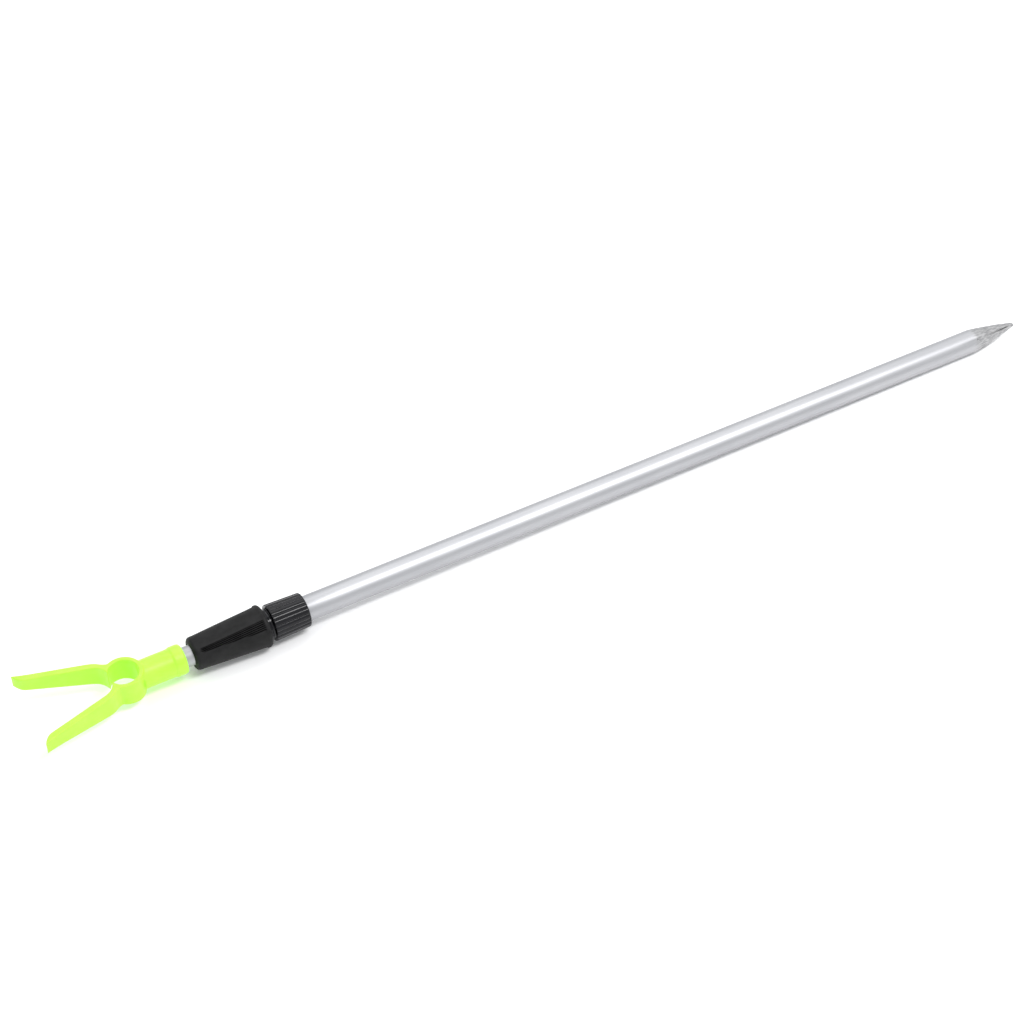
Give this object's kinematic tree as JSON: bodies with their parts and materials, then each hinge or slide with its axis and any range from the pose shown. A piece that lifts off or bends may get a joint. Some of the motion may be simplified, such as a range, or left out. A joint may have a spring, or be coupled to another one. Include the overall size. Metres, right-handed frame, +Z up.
{
  "type": "telescopic rod rest stick",
  "caption": "Telescopic aluminium ground stick with a folded ground point, a twist-lock clamp with a ribbed tapered nut, and a moulded Y-shaped rest with an open ring at its root.",
  "frame": {"origin": "middle of the closed stick's box, on the ground it lies on", "axes": "+X towards the ground point, so the fork is at -X; +Z up; +Y to the left when looking towards +X. The stick slopes up towards the fork by about half a degree, because it rests on the nut's rim and on the tube behind the point."},
  "size_m": [0.8388, 0.0682, 0.0322],
  "materials": {
    "outer_tube": "drawn and lightly brushed, scuffed at the point",
    "inner_tube": "drawn, smooth",
    "clamp_body": "moulded, glossy, fluted",
    "lock_nut": "moulded, matte, ribbed",
    "collet": "moulded, smooth",
    "guide_bush": "moulded, smooth",
    "fork_head": "moulded, satin lime green"
  },
  "bodies": {
    "outer": {"outer_tube": "outer_tube", "clamp_body": "clamp_body"},
    "slider": {"guide_bush": "guide_bush"},
    "inner": {"inner_tube": "inner_tube", "fork_head": "fork_head"},
    "collet": {"collet": "collet"},
    "nut": {"lock_nut": "lock_nut"}
  },
  "joints": [
    {"name": "extension", "type": "slide", "parent": "outer", "child": "slider", "axis": [-0.9999, 0, 0.0107], "range_m": [0, 0.56]},
    {"name": "inner_turn", "type": "hinge", "parent": "slider", "child": "inner", "pos_m": [0.32437, 0, 0.01004], "axis": [-0.9999, 0, 0.0107], "continuous": true},
    {"name": "nut_travel", "type": "slide", "parent": "outer", "child": "collet", "axis": [-0.9999, 0, 0.0107], "range_m": [0, 0.003]},
    {"name": "nut_turn", "type": "hinge", "parent": "collet", "child": "nut", "pos_m": [-0.2426, 0, 0.01608], "axis": [-0.9999, 0, 0.0107], "range_deg": [0, 360]}
  ],
  "couplings": [
    {"joint": "nut_turn", "follows": "nut_travel", "rad_per_m": 2094.4}
  ]
}
